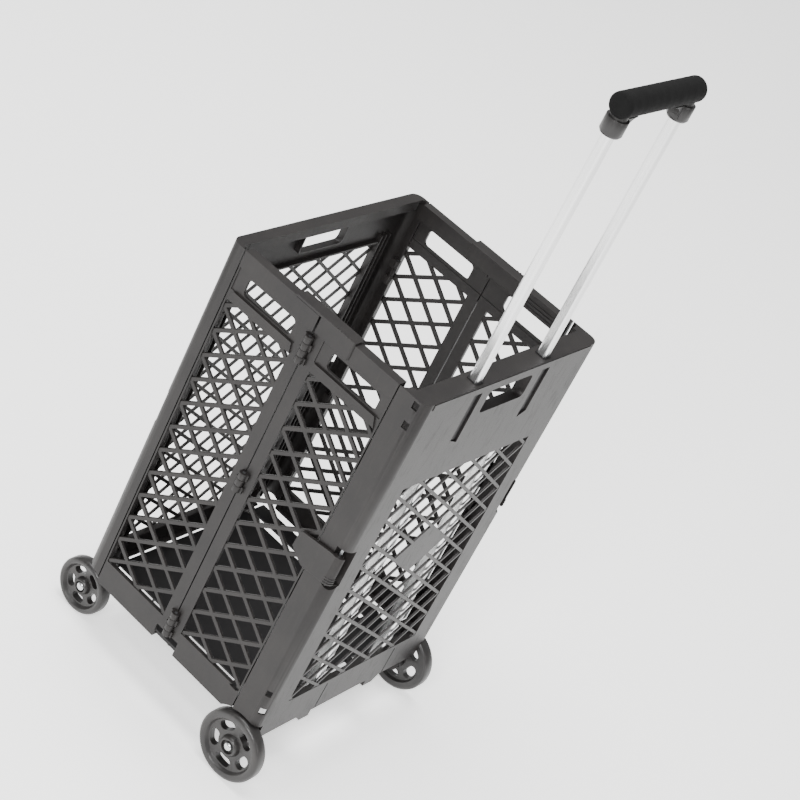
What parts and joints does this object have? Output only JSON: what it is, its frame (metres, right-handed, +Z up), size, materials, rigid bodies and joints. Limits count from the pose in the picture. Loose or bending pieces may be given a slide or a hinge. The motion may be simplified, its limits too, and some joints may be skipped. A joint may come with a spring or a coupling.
{
  "type": "shopping trolley on wheels",
  "caption": "Folding shopping trolley: a dark latticed plastic crate on plain wheels, with a two-tube sliding handle and a foam-covered grip.",
  "frame": {"origin": "on the floor, midway between the side walls and midway between the foremost and rearmost points of the wheels", "axes": "+Z up, +Y towards the rear (handle) side, +X towards the right-hand side wall; at rest it is open, locked, with the handle out"},
  "size_m": [0.3772, 0.39, 1.004],
  "materials": {
    "crate_plastic": "fine moulded grain, satin",
    "inner_plastic": "moulded, satin",
    "wheel_plastic": "moulded, satin, scuffed tread",
    "foam": "closed-cell foam, dull",
    "tube_metal": "satin, drawn lengthwise",
    "plated_steel": "bright zinc plate",
    "steel_wire": "drawn steel"
  },
  "bodies": {
    "rear": {"rear_panel": "crate_plastic", "rear_lattice": "crate_plastic", "right_outer_tube": "tube_metal", "left_outer_tube": "tube_metal", "right_tube_bush": "inner_plastic", "left_tube_bush": "inner_plastic", "right_rear_hinge_pins": "steel_wire", "left_rear_hinge_pins": "steel_wire", "right_floor_rod": "steel_wire", "left_floor_rod": "steel_wire", "right_latch_pin": "steel_wire", "left_latch_pin": "steel_wire", "right_rear_bolt": "plated_steel", "left_rear_bolt": "plated_steel", "right_rear_nut": "plated_steel", "left_rear_nut": "plated_steel", "right_rear_washer": "plated_steel", "left_rear_washer": "plated_steel"},
    "right_rear_side": {"right_rear_half": "crate_plastic", "right_rear_half_lattice": "crate_plastic", "right_centre_hinge_pins": "steel_wire"},
    "right_front_side": {"right_front_half": "crate_plastic", "right_front_half_lattice": "crate_plastic"},
    "left_rear_side": {"left_rear_half": "crate_plastic", "left_rear_half_lattice": "crate_plastic", "left_centre_hinge_pins": "steel_wire"},
    "left_front_side": {"left_front_half": "crate_plastic", "left_front_half_lattice": "crate_plastic"},
    "front": {"front_panel": "crate_plastic", "front_lattice": "crate_plastic", "right_front_hinge_pins": "steel_wire", "left_front_hinge_pins": "steel_wire", "right_front_bolt": "plated_steel", "left_front_bolt": "plated_steel", "right_front_nut": "plated_steel", "left_front_nut": "plated_steel", "right_front_washer": "plated_steel", "left_front_washer": "plated_steel"},
    "floor": {"floor_panel": "inner_plastic"},
    "right_lock": {"right_slide_lock": "crate_plastic"},
    "left_lock": {"left_slide_lock": "crate_plastic"},
    "right_catch": {"right_latch": "crate_plastic"},
    "left_catch": {"left_latch": "crate_plastic"},
    "handle": {"right_inner_tube": "tube_metal", "left_inner_tube": "tube_metal", "right_tube_plug": "inner_plastic", "left_tube_plug": "inner_plastic", "right_detent_spring": "steel_wire", "left_detent_spring": "steel_wire", "grip": "crate_plastic", "foam_sleeve": "foam"},
    "right_rear_roller": {"right_rear_wheel": "wheel_plastic"},
    "left_rear_roller": {"left_rear_wheel": "wheel_plastic"},
    "right_front_roller": {"right_front_wheel": "wheel_plastic"},
    "left_front_roller": {"left_front_wheel": "wheel_plastic"}
  },
  "joints": [
    {"name": "right_fold", "type": "hinge", "parent": "rear", "child": "right_rear_side", "pos_m": [0.172, 0.1255, 0.302], "axis": [0, 0, -1], "range_deg": [0, 88]},
    {"name": "right_centre_hinge", "type": "hinge", "parent": "right_rear_side", "child": "right_front_side", "pos_m": [0.1832, 0.0005, 0.302], "axis": [0, 0, -1], "range_deg": [-176, 0]},
    {"name": "front_shift_hinge", "type": "hinge", "parent": "right_front_side", "child": "front", "pos_m": [0.172, -0.1245, 0.302], "axis": [0, 0, -1], "range_deg": [0, 88]},
    {"name": "left_fold", "type": "hinge", "parent": "rear", "child": "left_rear_side", "pos_m": [-0.172, 0.1255, 0.302], "axis": [0, 0, 1], "range_deg": [0, 88]},
    {"name": "left_centre_hinge", "type": "hinge", "parent": "left_rear_side", "child": "left_front_side", "pos_m": [-0.1832, 0.0005, 0.302], "axis": [0, 0, 1], "range_deg": [-176, 0]},
    {"name": "floor_hinge", "type": "hinge", "parent": "rear", "child": "floor", "pos_m": [0, 0.1412, 0.082], "axis": [-1, 0, 0], "range_deg": [0, 88]},
    {"name": "right_lock_slide", "type": "slide", "parent": "right_rear_side", "child": "right_lock", "axis": [0, 1, 0], "range_m": [0, 0.042]},
    {"name": "left_lock_slide", "type": "slide", "parent": "left_rear_side", "child": "left_lock", "axis": [0, 1, 0], "range_m": [0, 0.042]},
    {"name": "right_latch_hinge", "type": "hinge", "parent": "rear", "child": "right_catch", "pos_m": [0.1755, 0.156, 0.36], "axis": [0, 0, 1], "range_deg": [0, 100]},
    {"name": "left_latch_hinge", "type": "hinge", "parent": "rear", "child": "left_catch", "pos_m": [-0.1755, 0.156, 0.36], "axis": [0, 0, -1], "range_deg": [0, 100]},
    {"name": "handle_slide", "type": "slide", "parent": "rear", "child": "handle", "axis": [0, 0, -1], "range_m": [0, 0.33]},
    {"name": "right_rear_wheel_spin", "type": "hinge", "parent": "rear", "child": "right_rear_roller", "pos_m": [0.1755, 0.147, 0.048], "axis": [1, 0, 0], "continuous": true},
    {"name": "left_rear_wheel_spin", "type": "hinge", "parent": "rear", "child": "left_rear_roller", "pos_m": [-0.1755, 0.147, 0.048], "axis": [1, 0, 0], "continuous": true},
    {"name": "right_front_wheel_spin", "type": "hinge", "parent": "front", "child": "right_front_roller", "pos_m": [0.1505, -0.156, 0.039], "axis": [1, 0, 0], "continuous": true},
    {"name": "left_front_wheel_spin", "type": "hinge", "parent": "front", "child": "left_front_roller", "pos_m": [-0.1505, -0.156, 0.039], "axis": [1, 0, 0], "continuous": true}
  ],
  "couplings": [
    {"joint": "right_centre_hinge", "follows": "right_fold", "ratio": -2},
    {"joint": "front_shift_hinge", "follows": "right_fold", "ratio": 1},
    {"joint": "left_fold", "follows": "right_fold", "ratio": 1},
    {"joint": "left_centre_hinge", "follows": "right_fold", "ratio": -2}
  ]
}
